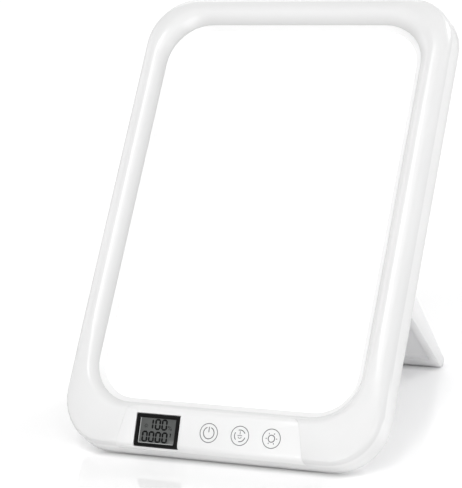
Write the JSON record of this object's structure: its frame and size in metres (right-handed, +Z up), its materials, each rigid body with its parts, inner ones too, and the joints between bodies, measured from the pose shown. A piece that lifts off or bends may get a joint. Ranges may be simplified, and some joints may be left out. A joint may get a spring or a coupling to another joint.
{
  "type": "light therapy lamp",
  "caption": "Slim light therapy lamp with a crowned frame, opal panel, small display, touch keys and a fold-out stand plate.",
  "frame": {"origin": "on the table plane, under the middle of the box round the whole lamp with its stand open", "axes": "+X to the right as seen by the person facing the light, +Y away from that person, +Z up"},
  "size_m": [0.179, 0.1746, 0.2084],
  "materials": {
    "frame_white": "glossy white moulded plastic",
    "cover_white": "satin white moulded plastic",
    "stand_white": "satin white moulded plastic",
    "insert_white": "glossy white moulded plastic",
    "display_black": "black moulded plastic",
    "display_glass": "smooth glass over a grey display",
    "backlight_white": "white moulded plastic",
    "diffuser_opal": "fine matt opal acrylic",
    "clear_acrylic": "clear polished acrylic",
    "reflector_white": "white foamed sheet",
    "tray_metal": "pressed aluminium sheet",
    "board_green": "green solder mask",
    "strip_board": "white board with small lamps",
    "cable_white": "flat cable sheath",
    "black_plastic": "black moulded plastic",
    "ferrite": "ferrite with wound wire",
    "capacitor_sleeve": "printed sleeve",
    "grey_rubber": "soft grey rubber",
    "zinc_steel": "zinc plated steel"
  },
  "bodies": {
    "panel": {"back_tray": "tray_metal", "base_foot_left": "grey_rubber", "base_foot_right": "grey_rubber", "control_board": "board_green", "control_board_screw_left": "zinc_steel", "control_board_screw_right": "zinc_steel", "control_insert": "insert_white", "control_ribbon": "cable_white", "cover_screw_1": "zinc_steel", "cover_screw_2": "zinc_steel", "cover_screw_3": "zinc_steel", "cover_screw_4": "zinc_steel", "cover_screw_5": "zinc_steel", "cover_screw_6": "zinc_steel", "diffuser_plate": "diffuser_opal", "display_backlight": "backlight_white", "display_frame": "display_black", "display_glass": "display_glass", "driver_chip": "black_plastic", "driver_coil": "ferrite", "filter_capacitor": "capacitor_sleeve", "friction_washer_left_inner": "zinc_steel", "friction_washer_left_outer": "zinc_steel", "friction_washer_right_inner": "zinc_steel", "friction_washer_right_outer": "zinc_steel", "front_frame": "frame_white", "hinge_pin_left": "zinc_steel", "hinge_pin_right": "zinc_steel", "key_pad_1": "grey_rubber", "key_pad_2": "grey_rubber", "key_pad_3": "grey_rubber", "lamp_strip_left": "strip_board", "lamp_strip_right": "strip_board", "light_guide": "clear_acrylic", "main_board": "board_green", "main_board_screw_1": "zinc_steel", "main_board_screw_2": "zinc_steel", "main_board_screw_3": "zinc_steel", "main_board_screw_4": "zinc_steel", "power_socket": "black_plastic", "rear_cover": "cover_white", "reflector_sheet": "reflector_white", "strip_lead_left": "cable_white", "strip_lead_right": "cable_white"},
    "stand": {"stand_plate": "stand_white", "stand_foot_left": "grey_rubber", "stand_foot_right": "grey_rubber"}
  },
  "joints": [
    {"name": "stand_fold", "type": "hinge", "parent": "panel", "child": "stand", "pos_m": [0, 0.00561, 0.08793], "axis": [-1, 0, 0], "range_deg": [0, 78.7]}
  ]
}
